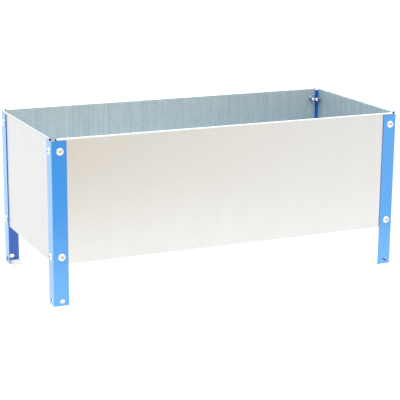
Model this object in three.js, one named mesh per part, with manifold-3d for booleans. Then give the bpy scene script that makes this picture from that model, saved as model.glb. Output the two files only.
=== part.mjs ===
// Raised planter on four legs: an open box of thin galvanised sheet, bolted between four angle posts that run
// down as legs and stand in L-shaped plastic feet.
// Millimetres. X runs along the length, -Y is the front, +Z is up.
// The origin is on the ground below the middle.
import * as THREE from "three";
import { mergeVertices } from "three/addons/utils/BufferGeometryUtils.js";
import Module from "manifold-3d";

const wasm = await Module();
wasm.setup();

// Overall
const LENGTH = 900; // over the outer faces of the posts
const WIDTH = 400;
const HEIGHT = 405; // ground to the top of the rolled rim
const FIT = 0.1; // play between sheets that lie against each other
const SEAT = 0.05; // play under a bolt head or a nut

// Posts
const FLANGE = 36; // width of each flange of the angle
const POST_THICK = 2;
const POST_BEND = 3.6; // outer radius of the bend
const POST_BASE = 6.3; // height of the cut end above the ground
const POST_TOP = 399.5;
const GAUGE_A = 20; // from the corner to the hole line of the first flange
const GAUGE_B = 17; // and of the second, so that neighbouring bolts pass each other
const HOLE_RADIUS = 4.5;
const SLOT_LENGTH = 12;
const SLOT_RADIUS = 4.75;
const SLOT_LEVEL = 23.5;
const UPPER_BOLTS = 375;
const LOWER_BOLTS = 129;

// Panels
const SHEET = 1.2;
const CORNER_CLEAR = 10; // from the corner to the end of a panel
const RIM_RADIUS = 2.6;
const RIM_CURL = THREE.MathUtils.degToRad(285);
const PANEL_BASE = 111;
const RETURN_WIDTH = 18; // turned-in bottom edge
const FOLD = 2.2; // outer radius of a fold in the sheet

// Floor tray
const TRAY_LIFT = 0.2; // play above the turned-in edges
const TRAY_EDGE = 32; // height of the turned-up edge
const TRAY_SLIT = 3.4; // open corner between two turned-up edges
const RIB_WIDTH = 18;
const RIB_TOP = 10;
const RIB_RISE = 4;
const RIB_HALF_LENGTH = 400;
const RIB_OFFSET = 66; // of each rib from the middle
const DRAIN_RADIUS = 5;
const DRAIN_PITCH = 150;
const DRAIN_ROWS = [-125, 125];
const DRAINS_PER_ROW = 6;

// Feet
const FOOT_HEIGHT = 13.5;
const FOOT_LIP = 3; // outside the post
const FOOT_SIZE = 43; // along each leg of the L
const FOOT_LEG = 15; // width of a leg
const FOOT_ROUND = 2.5;
const GROOVE_FLOOR = 6;
const GROOVE_PLAY = 0.3;

// Fasteners
const SHANK_RADIUS = 3.9;
const SHANK_LENGTH = 16;
const HEAD_RADIUS = 8.9;
const HEAD_RISE = 4.4;
const HEAD_RIM = 0.9;
const SOCKET_FLATS = 5;
const SOCKET_DEPTH = 2.6;
const NUT_FLATS = 13;
const NUT_HEIGHT = 8;
const NUT_FLANGE_RADIUS = 8.9;
const NUT_BORE = 4.1;
const ROUND = 16; // sides of a small round feature

// Sides in turn: [turn about Z in degrees, middle to the posts' outer faces, half run along the side, name].
const SIDES = [
  [0, WIDTH / 2, LENGTH / 2, "front"],
  [90, LENGTH / 2, WIDTH / 2, "right"],
  [180, WIDTH / 2, LENGTH / 2, "back"],
  [270, LENGTH / 2, WIDTH / 2, "left"],
];

const galvanised = { color: 0xc9cdcd, roughness: 0.42, metalness: 0.9 };
const bluePaint = { color: 0x2f78d0, roughness: 0.4, metalness: 0.1 };
const brightZinc = { color: 0xd9dcde, roughness: 0.3, metalness: 0.95 };
const palePlastic = { color: 0xe6e8e8, roughness: 0.55, metalness: 0 };

// A closed geometry as a solid that can be cut and joined.
function solid(geometry) {
  const bare = geometry.clone();
  bare.deleteAttribute("normal");
  bare.deleteAttribute("uv");
  const merged = mergeVertices(bare, 1e-4);
  return new wasm.Manifold(
    new wasm.Mesh({
      numProp: 3,
      vertProperties: merged.attributes.position.array,
      triVerts: new Uint32Array(merged.index.array),
    }),
  );
}

function geometryOf(body) {
  const mesh = body.getMesh();
  const geometry = new THREE.BufferGeometry();
  geometry.setAttribute("position", new THREE.BufferAttribute(new Float32Array(mesh.vertProperties), 3));
  geometry.setIndex(new THREE.BufferAttribute(new Uint32Array(mesh.triVerts), 1));
  geometry.computeVertexNormals();
  return geometry;
}

function extrude(shape, depth, curveSegments = 6) {
  return new THREE.ExtrudeGeometry(shape, { depth, steps: 1, bevelEnabled: false, curveSegments });
}

function block(low, high) {
  const size = high.map((value, i) => value - low[i]);
  const middle = high.map((value, i) => (value + low[i]) / 2);
  return solid(new THREE.BoxGeometry(...size).translate(...middle));
}

// A round bar through a wall that faces Y, for drilling it.
function drillY(x, y, z, radius, depth) {
  return solid(new THREE.CylinderGeometry(radius, radius, depth, ROUND).translate(x, y, z));
}

// The section of a post: two flanges and a bend, with the outer corner at the origin.
function angleSection() {
  const inner = POST_BEND - POST_THICK;
  const shape = new THREE.Shape();
  shape.moveTo(FLANGE, 0);
  shape.lineTo(FLANGE, POST_THICK);
  shape.lineTo(POST_BEND, POST_THICK);
  shape.absarc(POST_BEND, POST_BEND, inner, 1.5 * Math.PI, Math.PI, true);
  shape.lineTo(POST_THICK, FLANGE);
  shape.lineTo(0, FLANGE);
  shape.lineTo(0, POST_BEND);
  shape.absarc(POST_BEND, POST_BEND, POST_BEND, Math.PI, 1.5 * Math.PI, false);
  shape.closePath();
  return shape;
}

// Slotted hole, long across the flange, cut through a wall that faces Y.
function slotY(x) {
  const half = SLOT_LENGTH / 2 - SLOT_RADIUS;
  const shape = new THREE.Shape();
  shape.moveTo(-half, -SLOT_RADIUS);
  shape.lineTo(half, -SLOT_RADIUS);
  shape.absarc(half, 0, SLOT_RADIUS, -Math.PI / 2, Math.PI / 2, false);
  shape.lineTo(-half, SLOT_RADIUS);
  shape.absarc(-half, 0, SLOT_RADIUS, Math.PI / 2, 1.5 * Math.PI, false);
  return solid(extrude(shape, 10, 8).rotateX(Math.PI / 2).translate(x, 5, SLOT_LEVEL));
}

function flangeCuts(gauge) {
  return [
    drillY(gauge, 0, UPPER_BOLTS, HOLE_RADIUS, 10),
    drillY(gauge, 0, LOWER_BOLTS, HOLE_RADIUS, 10),
    slotY(gauge),
  ];
}

// Corner post in its own frame: flange A along +X, flange B along +Y.
function postBody() {
  let body = solid(extrude(angleSection(), POST_TOP - POST_BASE).translate(0, 0, POST_BASE));
  for (const cut of flangeCuts(GAUGE_A)) {
    body = body.subtract(cut);
  }
  for (const cut of flangeCuts(GAUGE_B)) {
    body = body.subtract(cut.mirror([1, -1, 0]));
  }
  return body;
}

// Panel section: x is the distance outwards from the middle of the box, y is the height.
function panelSection(face) {
  const inside = face - SHEET;
  const rim = new THREE.Vector2(inside + RIM_RADIUS, HEIGHT - RIM_RADIUS);
  const end = Math.PI - RIM_CURL;
  const shape = new THREE.Shape();
  shape.moveTo(face, PANEL_BASE + FOLD);
  shape.lineTo(face, rim.y);
  shape.absarc(rim.x, rim.y, RIM_RADIUS - SHEET, Math.PI, end, true);
  shape.absarc(rim.x, rim.y, RIM_RADIUS, end, Math.PI, false);
  shape.lineTo(inside, PANEL_BASE + FOLD);
  shape.absarc(face - FOLD, PANEL_BASE + FOLD, FOLD - SHEET, 0, -Math.PI / 2, true);
  shape.lineTo(face - RETURN_WIDTH, PANEL_BASE + SHEET);
  shape.lineTo(face - RETURN_WIDTH, PANEL_BASE);
  shape.lineTo(face - FOLD, PANEL_BASE);
  shape.absarc(face - FOLD, PANEL_BASE + FOLD, FOLD, -Math.PI / 2, 0, false);
  return shape;
}

// Panel in the front position: halfDepth is from the middle to the posts' outer faces,
// halfRun along the panel.
// The turned-in edge stops short by endCut at both ends.
function panelBody(halfDepth, halfRun, endCut) {
  const face = halfDepth - POST_THICK - FIT;
  const reach = halfRun - CORNER_CLEAR;
  const along = new THREE.Matrix4().makeBasis(
    new THREE.Vector3(0, -1, 0),
    new THREE.Vector3(0, 0, 1),
    new THREE.Vector3(-1, 0, 0),
  );
  let body = solid(extrude(panelSection(face), 2 * reach, 14).translate(0, 0, -reach).applyMatrix4(along));
  for (const [x, level] of boltSpots(halfRun)) {
    body = body.subtract(drillY(x, -face, level, HOLE_RADIUS, 8));
  }
  for (const side of [-1, 1]) {
    const ends = [side * (reach - endCut), side * (reach + 5)].sort((a, b) => a - b);
    body = body.subtract(block([ends[0], -face - 5, PANEL_BASE - 5], [ends[1], 0, PANEL_BASE + FOLD]));
  }
  return body;
}

// Bolt positions along one side, in the front position: [x, height].
function boltSpots(halfRun) {
  const spots = [];
  for (const level of [UPPER_BOLTS, LOWER_BOLTS]) {
    spots.push([-(halfRun - GAUGE_A), level], [halfRun - GAUGE_B, level]);
  }
  return spots;
}

// Channel section of the tray's long edges, or of an end edge when the base stops at x = from.
function traySection(from, half, low) {
  const shape = new THREE.Shape();
  const top = low + TRAY_EDGE;
  shape.moveTo(from, low);
  shape.lineTo(half - FOLD, low);
  shape.absarc(half - FOLD, low + FOLD, FOLD, -Math.PI / 2, 0, false);
  shape.lineTo(half, top);
  shape.lineTo(half - SHEET, top);
  shape.lineTo(half - SHEET, low + FOLD);
  shape.absarc(half - FOLD, low + FOLD, FOLD - SHEET, 0, -Math.PI / 2, true);
  shape.lineTo(from, low + SHEET);
  return shape;
}

// One turned-up edge with a strip of base, in the right-hand position, run along Y over +-reach.
function trayEdge(from, half, reach, low) {
  const upright = new THREE.Matrix4().makeBasis(
    new THREE.Vector3(1, 0, 0),
    new THREE.Vector3(0, 0, 1),
    new THREE.Vector3(0, -1, 0),
  );
  const run = extrude(traySection(from, half, low), 2 * reach).translate(0, 0, -reach);
  return solid(run.applyMatrix4(upright));
}

function ribPrism(bottomHalf, topHalf, floor, rise, reach) {
  const shape = new THREE.Shape();
  shape.moveTo(-bottomHalf, 0);
  shape.lineTo(bottomHalf, 0);
  shape.lineTo(topHalf, rise);
  shape.lineTo(-topHalf, rise);
  const geometry = extrude(shape, 2 * reach).translate(0, 0, -reach);
  return geometry.rotateX(Math.PI / 2).rotateZ(Math.PI / 2).translate(0, 0, floor);
}

function trayBody() {
  const low = PANEL_BASE + SHEET + TRAY_LIFT;
  const halfX = LENGTH / 2 - POST_THICK - 2 * FIT - SHEET - FIT;
  const halfY = WIDTH / 2 - POST_THICK - 2 * FIT - SHEET - FIT;
  const reachX = halfX - TRAY_SLIT;
  const reachY = halfY - TRAY_SLIT;
  let body = block([-reachX, -reachY, low], [reachX, reachY, low + SHEET]);
  for (const turn of [0, 180]) {
    body = body.add(trayEdge(reachX - 10, halfX, reachY, low).rotate([0, 0, turn]));
    body = body.add(trayEdge(reachY - 10, halfY, reachX, low).rotate([0, 0, turn + 90]));
  }
  for (const side of [-1, 1]) {
    const rib = ribPrism(RIB_WIDTH / 2, RIB_TOP / 2, low + SHEET / 2, RIB_RISE + SHEET / 2, RIB_HALF_LENGTH);
    const hollow = ribPrism(
      RIB_WIDTH / 2 - SHEET,
      RIB_TOP / 2 - SHEET / 2,
      low - 0.5,
      RIB_RISE + 0.5,
      RIB_HALF_LENGTH - SHEET,
    );
    body = body.add(solid(rib.translate(0, side * RIB_OFFSET, 0)));
    body = body.subtract(solid(hollow.translate(0, side * RIB_OFFSET, 0)));
  }
  for (const y of DRAIN_ROWS) {
    for (let i = 0; i < DRAINS_PER_ROW; i += 1) {
      const x = (i - (DRAINS_PER_ROW - 1) / 2) * DRAIN_PITCH;
      const drill = new THREE.CylinderGeometry(DRAIN_RADIUS, DRAIN_RADIUS, 8, ROUND).rotateX(Math.PI / 2);
      body = body.subtract(solid(drill.translate(x, y, low)));
    }
  }
  for (const [turn, halfDepth, halfRun] of SIDES) {
    for (const [x, level] of boltSpots(halfRun)) {
      const drill = drillY(x, -halfDepth, level, HOLE_RADIUS, 16);
      body = body.subtract(drill.rotate([0, 0, turn]));
    }
  }
  return body;
}

// L-shaped foot under a post, in the post's frame, with the groove the post stands in.
function footBody() {
  const low = -FOOT_LIP;
  const high = FOOT_SIZE - FOOT_LIP;
  const inner = FOOT_LEG - FOOT_LIP;
  const round = FOOT_ROUND;
  const quarter = Math.PI / 2;
  const outline = new THREE.Shape();
  outline.moveTo(low + round, low);
  outline.lineTo(high - round, low);
  outline.absarc(high - round, low + round, round, -quarter, 0, false);
  outline.lineTo(high, inner - round);
  outline.absarc(high - round, inner - round, round, 0, quarter, false);
  outline.lineTo(inner, inner);
  outline.lineTo(inner, high - round);
  outline.absarc(inner - round, high - round, round, 0, quarter, false);
  outline.lineTo(low + round, high);
  outline.absarc(low + round, high - round, round, quarter, 2 * quarter, false);
  outline.lineTo(low, low + round);
  outline.absarc(low + round, low + round, round, 2 * quarter, 3 * quarter, false);
  const plate = solid(extrude(outline, FOOT_HEIGHT, 4));
  const start = -GROOVE_PLAY;
  const wide = POST_THICK + GROOVE_PLAY;
  const far = FLANGE + GROOVE_PLAY;
  const top = FOOT_HEIGHT + 1;
  const web = block([wide - 1, wide - 1, GROOVE_FLOOR], [wide + 1.6, wide + 1.6, top]);
  return plate
    .subtract(block([start, start, GROOVE_FLOOR], [far, wide, top]))
    .subtract(block([start, start, GROOVE_FLOOR], [wide, far, top]))
    .subtract(web);
}

// Bolt along +Y: domed head outside (y below 0) with a hexagon socket, plain shank inside.
function boltBody() {
  const points = [new THREE.Vector2(0, -HEAD_RISE)];
  const dome = 5;
  for (let i = 1; i <= dome; i += 1) {
    const a = (i / dome) * (Math.PI / 2);
    const r = HEAD_RADIUS * 0.94 * Math.sin(a);
    points.push(new THREE.Vector2(r, -HEAD_RIM - (HEAD_RISE - HEAD_RIM) * Math.cos(a)));
  }
  points.push(new THREE.Vector2(HEAD_RADIUS, -HEAD_RIM * 0.6));
  points.push(new THREE.Vector2(HEAD_RADIUS, 0));
  points.push(new THREE.Vector2(SHANK_RADIUS, 0));
  points.push(new THREE.Vector2(SHANK_RADIUS, SHANK_LENGTH - 0.8));
  points.push(new THREE.Vector2(SHANK_RADIUS - 0.8, SHANK_LENGTH));
  points.push(new THREE.Vector2(0, SHANK_LENGTH));
  const body = solid(new THREE.LatheGeometry(points, ROUND));
  const radius = SOCKET_FLATS / Math.sqrt(3);
  const socket = new THREE.CylinderGeometry(radius, radius, SOCKET_DEPTH + 2, 6);
  return body.subtract(solid(socket.translate(0, SOCKET_DEPTH / 2 - 1 - HEAD_RISE, 0)));
}

// Flange nut seated at y = 0 and rising along +Y.
function nutBody() {
  const flange = new THREE.LatheGeometry(
    [
      new THREE.Vector2(0, 0),
      new THREE.Vector2(NUT_FLANGE_RADIUS, 0),
      new THREE.Vector2(NUT_FLANGE_RADIUS, 0.9),
      new THREE.Vector2(6.6, 2.6),
      new THREE.Vector2(0, 2.6),
    ],
    ROUND,
  );
  const radius = NUT_FLATS / Math.sqrt(3);
  const middle = NUT_HEIGHT / 2;
  const hexagon = new THREE.CylinderGeometry(radius, radius, NUT_HEIGHT - 0.5, 6);
  hexagon.translate(0, middle + 0.25, 0);
  const bore = new THREE.CylinderGeometry(NUT_BORE, NUT_BORE, NUT_HEIGHT + 4, ROUND);
  bore.translate(0, middle, 0);
  return solid(flange).add(solid(hexagon)).subtract(solid(bore));
}
// The post at the start of each side, seen from outside with that side in front.
const CORNERS = ["front_left", "front_right", "back_right", "back_left"];

const planter = new THREE.Group();

function addPart(name, body, look) {
  const mesh = new THREE.Mesh(geometryOf(body), new THREE.MeshStandardMaterial(look));
  mesh.name = name;
  planter.add(mesh);
}

const post = postBody();
const foot = footBody();
const bolt = boltBody();
const nut = nutBody();

SIDES.forEach(([turn, halfDepth, halfRun, side], i) => {
  const isLong = halfRun > halfDepth;
  const endCut = isLong ? RETURN_WIDTH + POST_THICK + FIT + 1 - CORNER_CLEAR : 0;
  const panelName = isLong ? `${side}_panel` : `${side}_end_panel`;
  addPart(panelName, panelBody(halfDepth, halfRun, endCut).rotate([0, 0, turn]), galvanised);

  const corner = [-halfRun, -halfDepth, 0];
  addPart(`post_${CORNERS[i]}`, post.translate(corner).rotate([0, 0, turn]), bluePaint);
  addPart(`foot_${CORNERS[i]}`, foot.translate(corner).rotate([0, 0, turn]), palePlastic);

  boltSpots(halfRun).forEach(([x, level], k) => {
    const at = CORNERS[(i + (k % 2)) % 4];
    const height = level === UPPER_BOLTS ? "upper" : "lower";
    const stack = POST_THICK + FIT + SHEET + (level === LOWER_BOLTS ? 2 * FIT + SHEET : 0);
    const where = `${side}_at_${at}_${height}`;
    addPart(`bolt_${where}`, bolt.translate([x, -halfDepth - SEAT, level]).rotate([0, 0, turn]), brightZinc);
    const seated = nut.translate([x, -halfDepth + stack + SEAT, level]);
    addPart(`nut_${where}`, seated.rotate([0, 0, turn]), brightZinc);
  });
});
addPart("floor_tray", trayBody(), galvanised);

export default planter;
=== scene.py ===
"""Raised planter on four legs: an open box of galvanised sheet between blue angle posts on pale feet."""

import logging
import math
from collections.abc import Callable, Iterator, Sequence
from contextlib import contextmanager
from dataclasses import dataclass, field
from enum import Enum

import bmesh
import bpy
from mathutils import Matrix, Vector


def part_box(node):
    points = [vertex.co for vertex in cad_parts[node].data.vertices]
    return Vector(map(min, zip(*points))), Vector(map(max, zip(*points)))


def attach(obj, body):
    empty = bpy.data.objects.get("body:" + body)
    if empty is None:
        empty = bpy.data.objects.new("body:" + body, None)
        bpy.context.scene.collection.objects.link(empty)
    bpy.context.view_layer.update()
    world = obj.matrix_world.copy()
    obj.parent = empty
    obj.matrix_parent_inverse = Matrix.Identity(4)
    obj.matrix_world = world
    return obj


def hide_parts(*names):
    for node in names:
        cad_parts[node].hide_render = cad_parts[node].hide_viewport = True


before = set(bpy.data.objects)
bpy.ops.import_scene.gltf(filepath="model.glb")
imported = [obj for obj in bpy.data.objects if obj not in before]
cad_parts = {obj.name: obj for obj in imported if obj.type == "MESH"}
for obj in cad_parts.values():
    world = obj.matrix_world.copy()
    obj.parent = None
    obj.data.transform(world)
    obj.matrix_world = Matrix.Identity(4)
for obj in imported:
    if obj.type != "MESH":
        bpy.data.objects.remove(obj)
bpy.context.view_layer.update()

LOG = logging.getLogger("planter")
MM = 0.001
BODY = "root"
SMOOTH_ANGLE = math.radians(32)
DRILL_START = 12 * MM
DRILL_DEPTH = 24 * MM
FIRST_RUN = 1 * MM
PLAY = 0.02 * MM
MERGE_GAP = 0.004 * MM
QUARTER = math.pi / 2
ALONG = Vector((1, 0, 0))
UP = Vector((0, 0, 1))
HOLLOW = "hollow"

Obj = bpy.types.Object
Material = bpy.types.Material
Node = bpy.types.Node
Socket = bpy.types.NodeSocket
Outputs = bpy.types.NodeOutputs
Triple = tuple[float, float, float]
Colour = Triple
Rings = list[tuple[float, float]]


class Side(Enum):
    """A side of the box: the turn about Z, in degrees, that brings the front to it."""

    FRONT = 0
    RIGHT = 90
    BACK = 180
    LEFT = 270

    @property
    def label(self) -> str:
        """The side's word in the node names."""
        return self.name.lower()

    @property
    def turn(self) -> Matrix:
        """Rotation about Z from the front to this side."""
        return Matrix.Rotation(math.radians(self.value), 4, "Z")

    @property
    def outwards(self) -> Vector:
        """Unit vector that points out of the box on this side."""
        return self.turn @ Vector((0, -1, 0))

    @property
    def panel(self) -> str:
        """Name of the panel node on this side."""
        return f"{self.label}_panel" if self in (Side.FRONT, Side.BACK) else f"{self.label}_end_panel"


class Corner(Enum):
    """A corner of the box, with the side that starts at it seen from outside."""

    FRONT_LEFT = Side.FRONT
    FRONT_RIGHT = Side.RIGHT
    BACK_RIGHT = Side.BACK
    BACK_LEFT = Side.LEFT

    @property
    def label(self) -> str:
        """The corner's words in the node names."""
        return self.name.lower()

    def step(self, start: Vector) -> Matrix:
        """The move from the front left corner to this one.

        Args:
            start: the front left post's outer corner.

        Returns:
            The matrix of the move.
        """
        across = -1 if "left" in self.label else 1
        along = -1 if "front" in self.label else 1
        there = Matrix.Translation((across * abs(start.x), along * abs(start.y), 0))
        return there @ self.value.turn @ Matrix.Translation((-start.x, -start.y, 0))


class Slot(Enum):
    """The record's material slots."""

    SHEET = "galvanised_sheet"
    PAINT = "blue_paint"
    ZINC = "bright_zinc"
    PLASTIC = "pale_plastic"


# Bench tools


def activate(obj: Obj) -> None:
    """Deselects everything, then selects obj alone and makes it active.

    Args:
        obj: the object to work on.
    """
    bpy.ops.object.select_all(action="DESELECT")
    obj.select_set(True)
    bpy.context.view_layer.objects.active = obj


@contextmanager
def editing(obj: Obj) -> Iterator[None]:
    """Edit mode on obj with nothing selected, and object mode again afterwards.

    Args:
        obj: the object to edit.
    """
    activate(obj)
    bpy.ops.object.mode_set(mode="EDIT")
    bpy.ops.mesh.select_mode(type="EDGE")
    bpy.ops.mesh.select_all(action="DESELECT")
    yield
    bpy.ops.object.mode_set(mode="OBJECT")


def pick(obj: Obj, kind: str, test: Callable[[object], bool]) -> None:
    """Selects the points, edges or faces that pass the test, and no others.

    Args:
        obj: object in edit mode.
        kind: VERT, EDGE or FACE.
        test: takes one point, edge or face of the mesh.
    """
    bpy.ops.mesh.select_mode(type=kind)
    bpy.ops.mesh.select_all(action="DESELECT")
    shape = bmesh.from_edit_mesh(obj.data)
    for element in {"VERT": shape.verts, "EDGE": shape.edges, "FACE": shape.faces}[kind]:
        element.select_set(test(element))
    bmesh.update_edit_mesh(obj.data)


def pick_edges(obj: Obj, test: Callable[[Vector, Vector], bool]) -> None:
    """Selects the edges whose two ends pass the test, and no others."""
    pick(obj, "EDGE", lambda edge: test(edge.verts[0].co, edge.verts[1].co))


def pick_faces(obj: Obj, test: Callable[[Vector], bool]) -> None:
    """Selects the faces whose middle passes the test, and no others."""
    pick(obj, "FACE", lambda face: test(face.calc_center_median()))


def near(value: float, target: float) -> bool:
    """True when value is as good as target."""
    return abs(value - target) < PLAY


def pick_line(
    obj: Obj, way: Vector, place: float, also: Callable[[Vector, Vector], bool] = lambda a, b: True
) -> None:
    """Selects the edges that lie at one distance along a direction.

    Args:
        obj: object in edit mode.
        way: unit vector of the direction.
        place: the distance from the origin.
        also: a second test for the two ends.
    """
    pick_edges(obj, lambda a, b: near(a.dot(way), place) and near(b.dot(way), place) and also(a, b))


def mark_lines(obj: Obj, axis: str, *places: float) -> None:
    """Cuts lines of edges right across the shape, for folding or pressing along.

    Args:
        obj: object in edit mode.
        axis: the axis that the lines cross: X, Y or Z.
        *places: where they cross it.
    """
    normal = Vector([float(axis == each) for each in "XYZ"])
    for place in places:
        bpy.ops.mesh.select_all(action="SELECT")
        bpy.ops.mesh.bisect(plane_co=normal * place, plane_no=normal, use_fill=False)


def fold(centre: Sequence[float], axis: Sequence[float], angle: float, steps: int) -> None:
    """Spins the selected edges about an axis, as a press brake folds sheet.

    Args:
        centre: a point on the axis of the fold.
        axis: direction of the axis, by the right-hand rule.
        angle: how far to turn, in radians.
        steps: number of facets round the fold.
    """
    bpy.ops.mesh.spin(steps=steps, angle=-angle, center=centre, axis=axis)


def run_out(direction: Sequence[float], length: float) -> None:
    """Extrudes the selected edges straight, in a first short run and then the rest.

    Args:
        direction: unit vector along the run.
        length: length of the whole run.
    """
    for run in (FIRST_RUN, length - FIRST_RUN):
        offset = tuple(run * each for each in direction)
        bpy.ops.mesh.extrude_edges_move(TRANSFORM_OT_translate={"value": offset})


def tidy_shell() -> None:
    """Merges doubles and makes the normals agree, in edit mode."""
    bpy.ops.mesh.select_all(action="SELECT")
    bpy.ops.mesh.remove_doubles(threshold=MERGE_GAP)
    bpy.ops.mesh.normals_make_consistent(inside=False)


def apply_modifier(obj: Obj, kind: str, **settings: object) -> None:
    """Adds a modifier with the settings and applies it at once.

    Args:
        obj: the object to change.
        kind: Blender's modifier type.
        **settings: the modifier's properties.
    """
    activate(obj)
    modifier = obj.modifiers.new(kind.lower(), kind)
    for key, value in settings.items():
        setattr(modifier, key, value)
    bpy.ops.object.modifier_apply(modifier=modifier.name)


def thicken(obj: Obj, thickness: float) -> None:
    """Gives a sheet its thickness, half on each side."""
    even = {"use_even_offset": True, "use_rim": True, "use_quality_normals": True}
    apply_modifier(obj, "SOLIDIFY", thickness=thickness, offset=0.0, **even)


def break_edges(obj: Obj, width: float, segments: int = 1, angle: float = 40.0) -> None:
    """Takes the sharpness off the edges.

    Args:
        obj: the object to change.
        width: width of the chamfer or round.
        segments: 1 for a chamfer, more for a round.
        angle: only edges sharper than this, in degrees.
    """
    where = {"limit_method": "ANGLE", "angle_limit": math.radians(angle)}
    safe = {"use_clamp_overlap": True, "loop_slide": False}
    apply_modifier(obj, "BEVEL", width=width, segments=segments, **where, **safe)


def combine(obj: Obj, tool: Obj, operation: str = "DIFFERENCE") -> None:
    """Cuts, joins or crosses obj with tool, and throws the tool away.

    Args:
        obj: the object that stays.
        tool: the object used on it.
        operation: DIFFERENCE, UNION or INTERSECT.
    """
    apply_modifier(obj, "BOOLEAN", object=tool, operation=operation, solver="EXACT")
    bpy.data.objects.remove(tool, do_unlink=True)


def settle(obj: Obj) -> None:
    """Puts the object's place, turn and size into its mesh."""
    activate(obj)
    bpy.ops.object.transform_apply(location=True, rotation=True, scale=True)


def start_from(add: Callable[..., object], **settings: object) -> Obj:
    """Adds a primitive to start a shape from, with nothing else selected.

    Args:
        add: the operator that adds it.
        **settings: its size and place.

    Returns:
        The new object, settled.
    """
    bpy.ops.object.select_all(action="DESELECT")
    add(**settings)
    obj = bpy.context.active_object
    settle(obj)
    return obj


def turned(rings: Rings, sides: int) -> Obj:
    """A turned solid about Z, drawn up ring by ring from a disc.

    Args:
        rings: (radius, height) of each ring, from the first disc to the last.
        sides: number of facets round it.

    Returns:
        The new object, closed, at the origin.
    """
    radius, height = rings[0]
    disc = {"vertices": sides, "radius": radius, "fill_type": "NGON", "location": (0, 0, height)}
    obj = start_from(bpy.ops.mesh.primitive_circle_add, **disc)
    with editing(obj):
        bpy.ops.mesh.select_all(action="SELECT")
        for wider, level in rings[1:]:
            bpy.ops.mesh.extrude_region_move(TRANSFORM_OT_translate={"value": (0, 0, level - height)})
            ratio = wider / radius
            bpy.ops.transform.resize(value=(ratio, ratio, 1), center_override=(0, 0, level))
            radius, height = wider, level
        tidy_shell()
    return obj


def hexagon(flats: float, base: float, top: float) -> Obj:
    """A hexagonal bar about Z.

    Args:
        flats: distance across its flats.
        base: height of its lower end.
        top: height of its upper end.

    Returns:
        The new object.
    """
    size = {"vertices": 6, "radius": flats / math.sqrt(3), "depth": top - base}
    return start_from(bpy.ops.mesh.primitive_cylinder_add, location=(0, 0, (base + top) / 2), **size)


def box_block(low: Sequence[float], high: Sequence[float]) -> Obj:
    """A rectangular block between two corners, used as a tool or as the start of a piece.

    Args:
        low: lowest corner.
        high: highest corner.

    Returns:
        The new object.
    """
    size = [b - a for a, b in zip(low, high)]
    middle = [(a + b) / 2 for a, b in zip(low, high)]
    return start_from(bpy.ops.mesh.primitive_cube_add, size=1, location=middle, scale=size)


def sheet_plane(width: float, height: float, middle: Sequence[float], upright: bool) -> Obj:
    """A flat blank of sheet, lying in XY or standing in XZ.

    Args:
        width: size along X.
        height: size along Y, or along Z if upright.
        middle: its middle.
        upright: True to stand it up, facing -Y.

    Returns:
        The new object.
    """
    obj = start_from(bpy.ops.mesh.primitive_plane_add, size=1)
    obj.scale = (width, height, 1)
    obj.rotation_euler.x = QUARTER if upright else 0.0
    obj.location = middle
    settle(obj)
    return obj


def drill_rod(place: Matrix, radius: float, depth: float = DRILL_DEPTH, sides: int = 40) -> Obj:
    """A round rod along the local Y of place, for drilling a wall.

    Args:
        place: where the hole's middle is and which way it runs.
        radius: radius of the hole.
        depth: length of the rod.
        sides: number of facets.

    Returns:
        The tool.
    """
    rod = start_from(bpy.ops.mesh.primitive_cylinder_add, vertices=sides, radius=radius, depth=depth)
    rod.data.transform(place @ Matrix.Rotation(QUARTER, 4, "X"))
    return rod


def join_tools(tools: Sequence[Obj]) -> Obj:
    """Joins separate tools, which don't touch each other, so that they cut in one go.

    Args:
        tools: the tools, at least two.

    Returns:
        The first of them, holding all.
    """
    activate(tools[0])
    for tool in tools[1:]:
        tool.select_set(True)
    bpy.ops.object.join()
    return tools[0]


def mark_hollow(obj: Obj, inside: Callable[[Vector], bool]) -> None:
    """Stores which faces lie in a recess or at a rolled rim's end, for the finish to darken: painted shade
    on the sheet, a tarnish on the bolts and nuts.

    Args:
        obj: the piece.
        inside: tells, from a face's middle, whether it is in the recess.
    """
    marks = obj.data.attributes.new(HOLLOW, "FLOAT", "FACE")
    for face in obj.data.polygons:
        marks.data[face.index].value = 1.0 if inside(face.center) else 0.0


def copy_of(obj: Obj, place: Matrix) -> Obj:
    """A copy of obj with its own mesh, moved by place.

    Args:
        obj: the pattern.
        place: where the copy goes, relative to the pattern.

    Returns:
        The copy, at the origin with its place in its mesh.
    """
    twin = obj.copy()
    twin.data = obj.data.copy()
    bpy.context.collection.objects.link(twin)
    twin.data.transform(place)
    twin.data.update()
    return twin


def hand_over(obj: Obj, node: str, finish: Material) -> None:
    """Names, smooths and dresses a finished piece, and puts it in the place of its node.

    Args:
        obj: the piece.
        node: the node that it stands for.
        finish: its material.
    """
    obj.name = f"{node}_made"
    obj.data.name = obj.name
    obj.data.materials.clear()
    obj.data.materials.append(finish)
    activate(obj)
    bpy.ops.object.shade_smooth_by_angle(angle=SMOOTH_ANGLE)
    apply_modifier(obj, "WEIGHTED_NORMAL", mode="FACE_AREA", weight=50, keep_sharp=True)
    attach(obj, BODY)
    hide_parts(node)
    LOG.info("%s: %d faces", obj.name, len(obj.data.polygons))


# Where things are


def fastener_place(node: str, side: Side, tail: float) -> Matrix:
    """Where a bolt or nut sits: its seat, with local -Y out of the box.

    Args:
        node: the bolt's or nut's node.
        side: the side that it is on.
        tail: how far it reaches into the box from its seat.

    Returns:
        The matrix that takes the pattern piece there.
    """
    low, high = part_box(node)
    out = side.outwards
    inner_end = (low + high) / 2 - out * abs((high - low).dot(out)) / 2
    return Matrix.Translation(inner_end + out * tail) @ side.turn


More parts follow.
